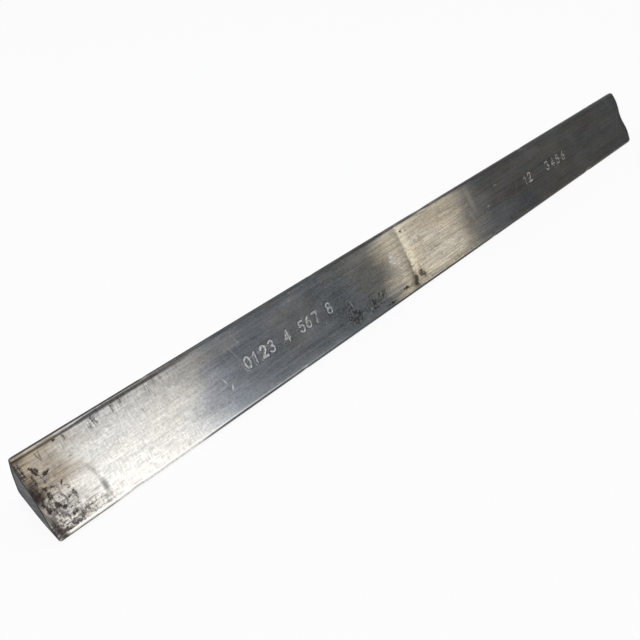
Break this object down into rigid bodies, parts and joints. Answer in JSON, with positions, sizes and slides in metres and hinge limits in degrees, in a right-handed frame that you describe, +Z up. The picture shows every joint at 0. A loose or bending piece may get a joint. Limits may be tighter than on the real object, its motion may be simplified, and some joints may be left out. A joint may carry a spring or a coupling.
{
  "type": "tin solder bar",
  "caption": "Slim triangular bar of tin solder with rounded long edges and cut ends, lying on one flat face; raw stock that is melted or cut down for soldering and tinning.",
  "frame": {"origin": "under the middle of the bar, on the surface that its bottom face lies on", "axes": "+X along the bar from its near end to its far end, +Z up; the stamped face slopes down towards -Y"},
  "size_m": [0.3052, 0.0254, 0.0223],
  "materials": {
    "bar": "dull tin with lengthwise die lines, grey tarnish and dirt"
  },
  "bodies": {
    "root": {"bar": "bar"}
  },
  "joints": []
}
